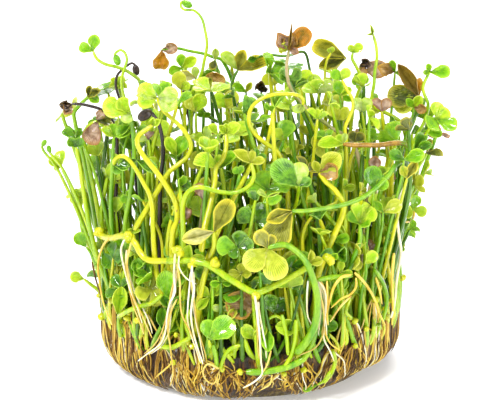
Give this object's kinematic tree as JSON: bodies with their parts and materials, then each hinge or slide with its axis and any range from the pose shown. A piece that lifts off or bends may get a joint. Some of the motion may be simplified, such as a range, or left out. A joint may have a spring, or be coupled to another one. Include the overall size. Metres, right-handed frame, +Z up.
{
  "type": "marsilea hirsuta plant clump",
  "caption": "Clump of hairy water clover: four-lobed leaves on tall, bent stalks that rise from a round, flat-bottomed mat of roots.",
  "frame": {"origin": "middle of the root mat's flat underside", "axes": "+Z up; the side seen in the reference view looks towards -Y; +X to its right"},
  "size_m": [0.0877, 0.0736, 0.0782],
  "materials": {
    "green": "soft green leaf with a waxy gloss",
    "lime": "lime green leaf with a waxy gloss",
    "yellow": "yellow-green stalk with a waxy gloss",
    "olive": "olive leaf, veined and satin",
    "brown": "dried brown leaf, matt",
    "dark": "wet, nearly black leaf",
    "mat": "wet brown film of matted roots",
    "root": "pale fleshy roots"
  },
  "bodies": {
    "root": {"root_mat": "mat", "front_runner": "yellow", "low_runner": "yellow", "roots_left": "root", "roots_middle_left": "root", "roots_middle": "root", "roots_centre": "root", "roots_right": "root", "frond_outer_left": "lime", "frond_round_left": "green", "frond_blackened": "dark", "frond_olive_left": "olive", "frond_pale_left": "lime", "frond_fork_left": "green", "frond_pink_left": "brown", "frond_spoon_left": "green", "crosier_tall": "lime", "frond_paired_bud": "lime", "crosier_small": "yellow", "crosier_dark": "dark", "crosier_black": "dark", "frond_pale_clover": "lime", "frond_hook": "yellow", "frond_yellow_arc": "yellow", "frond_orange": "brown", "frond_black_stalk": "dark", "frond_brown_round": "brown", "frond_top_olive": "olive", "frond_dark_small": "dark", "frond_small_top": "yellow", "frond_twin_middle": "lime", "frond_s_curve": "yellow", "frond_green_middle": "green", "frond_round_wet": "green", "frond_brown_clover": "brown", "frond_big_olive": "olive", "frond_small_right": "lime", "frond_tall_right": "lime", "frond_dead_right": "brown", "frond_olive_round": "olive", "frond_loop_right": "green", "frond_far_right": "green", "frond_round_pair": "yellow", "frond_big_arc": "yellow", "frond_brown_stalk": "brown", "frond_curled": "yellow", "crosier_curl": "yellow", "frond_front_clover": "yellow", "frond_hanging_olive": "olive", "frond_right_front": "green", "frond_right_middle": "lime", "frond_right_low": "lime", "frond_olive_cream": "olive", "frond_low_front": "green", "tuft_back_1": "green", "tuft_back_2": "green", "tuft_back_3": "green", "tuft_back_4": "green", "tuft_back_5": "green", "tuft_back_6": "green"}
  },
  "joints": []
}
